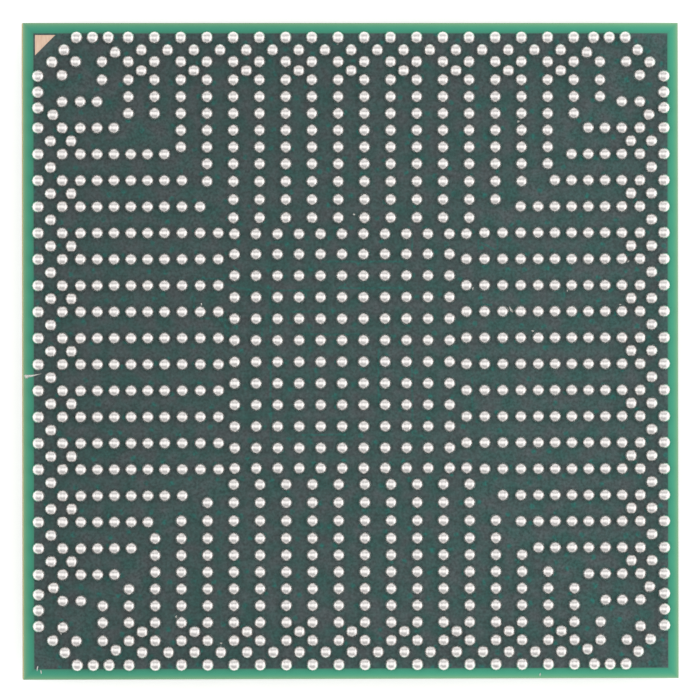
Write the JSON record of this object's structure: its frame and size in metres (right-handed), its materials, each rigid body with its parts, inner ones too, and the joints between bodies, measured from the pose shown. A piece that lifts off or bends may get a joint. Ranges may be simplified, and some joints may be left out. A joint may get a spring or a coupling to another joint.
{
  "type": "flip-chip ball grid array package",
  "caption": "Square flip-chip ball grid array package with a bare die on one side and a dense map of solder balls on the other.",
  "frame": {"origin": "middle of the die's back face, on which the package lies with its balls up", "axes": "+Z from the die's back to the tips of the balls; +X and +Y along the edges, with the pin one corner at -X +Y"},
  "size_m": [0.025, 0.025, 0.0025],
  "materials": {
    "glass_epoxy": "sawn woven-glass laminate",
    "build_up_resin": "sawn resin film",
    "copper": "bare copper with a clear preservative",
    "solder_mask": "satin green mask over copper",
    "silicon": "ground silicon",
    "solder": "satin tin alloy",
    "underfill_resin": "cured epoxy"
  },
  "bodies": {
    "root": {"laminate_core": "glass_epoxy", "build_up_ball_side": "build_up_resin", "build_up_die_side": "build_up_resin", "ground_vias": "copper", "copper_ball_side": "copper", "ball_lands": "copper", "mask_ball_side": "solder_mask", "copper_die_side": "copper", "bump_lands": "copper", "mask_die_side": "solder_mask", "die": "silicon", "solder_bumps": "solder", "underfill": "underfill_resin", "balls_centre_grid": "solder", "balls_link_rank": "solder", "balls_north_rim": "solder", "balls_east_rim": "solder", "balls_south_rim": "solder", "balls_west_rim": "solder", "balls_north_arm": "solder", "balls_east_arm": "solder", "balls_south_arm": "solder", "balls_west_arm": "solder"}
  },
  "joints": []
}
